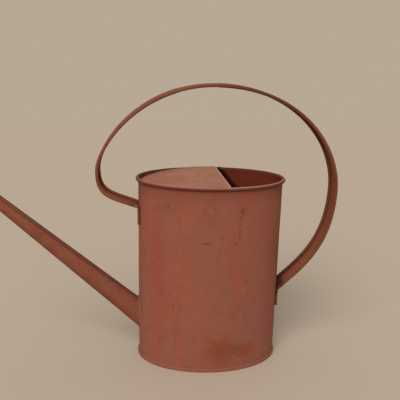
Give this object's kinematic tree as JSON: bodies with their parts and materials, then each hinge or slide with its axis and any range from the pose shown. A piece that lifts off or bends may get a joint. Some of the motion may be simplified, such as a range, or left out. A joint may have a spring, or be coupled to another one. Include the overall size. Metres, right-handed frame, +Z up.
{
  "type": "rusty watering can",
  "caption": "Rusty oval sheet-metal watering can with a half hood over its mouth, a long straight spout and a tall strap handle.",
  "frame": {"origin": "middle of the underside, where the can stands", "axes": "+Z up, -X along the body towards the spout, +X towards the rear of the handle, Y across the body"},
  "size_m": [0.4162, 0.11, 0.3214],
  "materials": {
    "rusty_body": "matt mottled rust",
    "rusty_strap": "matt rust with ochre patches",
    "rust_inside": "matt dark rust",
    "dull_solder": "dull grey solder"
  },
  "bodies": {
    "root": {"body_shell": "rusty_body", "rim_wire": "rust_inside", "bottom_pan": "rusty_body", "hood": "rusty_body", "spout": "rusty_body", "handle_strap": "rusty_strap", "spout_solder": "dull_solder", "front_foot_solder": "dull_solder", "rear_foot_solder": "dull_solder", "hood_solder_front": "dull_solder", "hood_solder_back": "dull_solder"}
  },
  "joints": []
}
